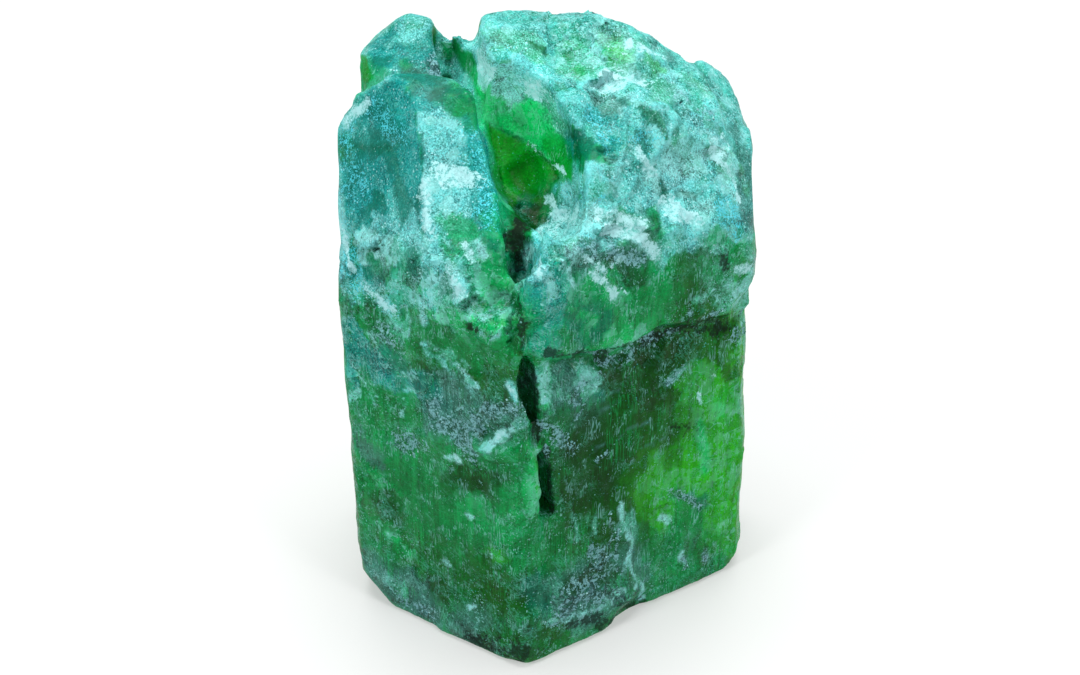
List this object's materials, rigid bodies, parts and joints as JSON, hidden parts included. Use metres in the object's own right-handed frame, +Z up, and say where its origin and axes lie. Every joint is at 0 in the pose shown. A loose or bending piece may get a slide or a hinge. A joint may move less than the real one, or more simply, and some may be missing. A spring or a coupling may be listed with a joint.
{
  "type": "raw emerald crystal",
  "caption": "Rough green emerald standing on end: a hexagonal crystal with a smaller one grown against its front, a hollow and a crack between them, and a worn, broken top.",
  "frame": {"origin": "the middle of the flat base that the crystal stands on, under the centre of its box", "axes": "+Z up along the crystal's length; the front, with the crack beside its middle edge, looks along -Y; +X is to the right seen from the front"},
  "size_m": [0.0344, 0.0322, 0.0501],
  "materials": {
    "emerald": "satin"
  },
  "bodies": {
    "root": {"emerald_crystal": "emerald"}
  },
  "joints": []
}
